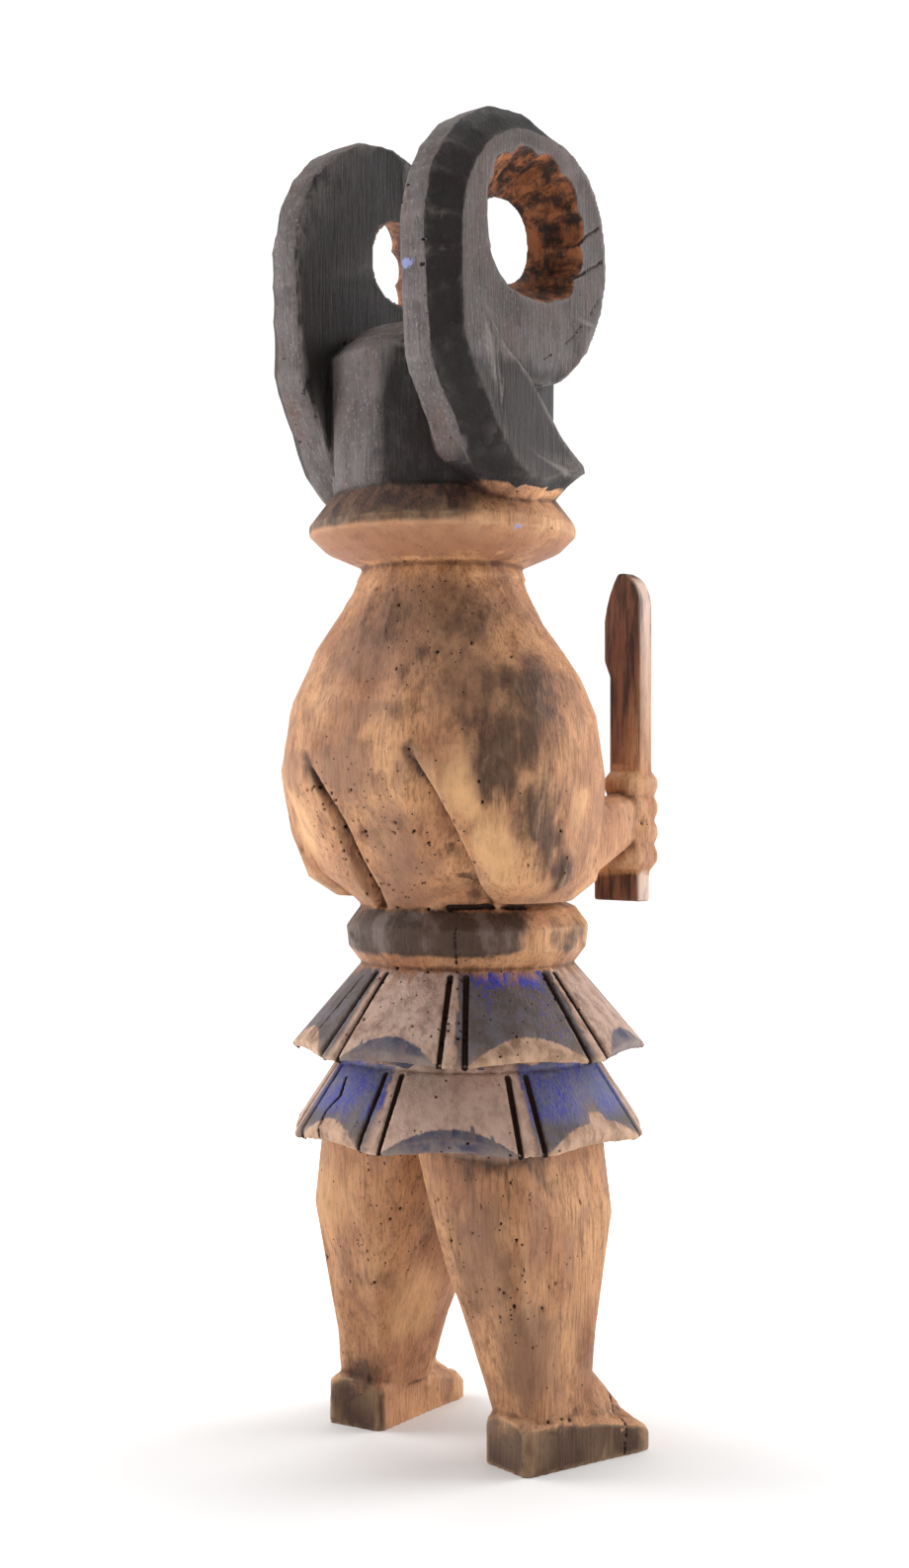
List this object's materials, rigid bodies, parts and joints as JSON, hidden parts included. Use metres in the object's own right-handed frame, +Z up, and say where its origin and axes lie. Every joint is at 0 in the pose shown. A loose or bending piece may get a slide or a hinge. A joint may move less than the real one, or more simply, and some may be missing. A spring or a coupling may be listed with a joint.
{
  "type": "carved wooden ikenga figure",
  "caption": "Standing horned figure carved from one block of wood, holding a machete upright in the right fist, over a two-tier skirt.",
  "frame": {"origin": "middle of the figure's box, on the ground under its soles", "axes": "+Z up through the horns, the figure faces -Y and its right side is toward -X"},
  "size_m": [0.153, 0.1526, 0.56],
  "materials": {
    "carved_wood": "knife-cut hardwood with worn dark patina on the horns and cap, and blue and brown paint on the skirt"
  },
  "bodies": {
    "root": {"ikenga_figure": "carved_wood"}
  },
  "joints": []
}
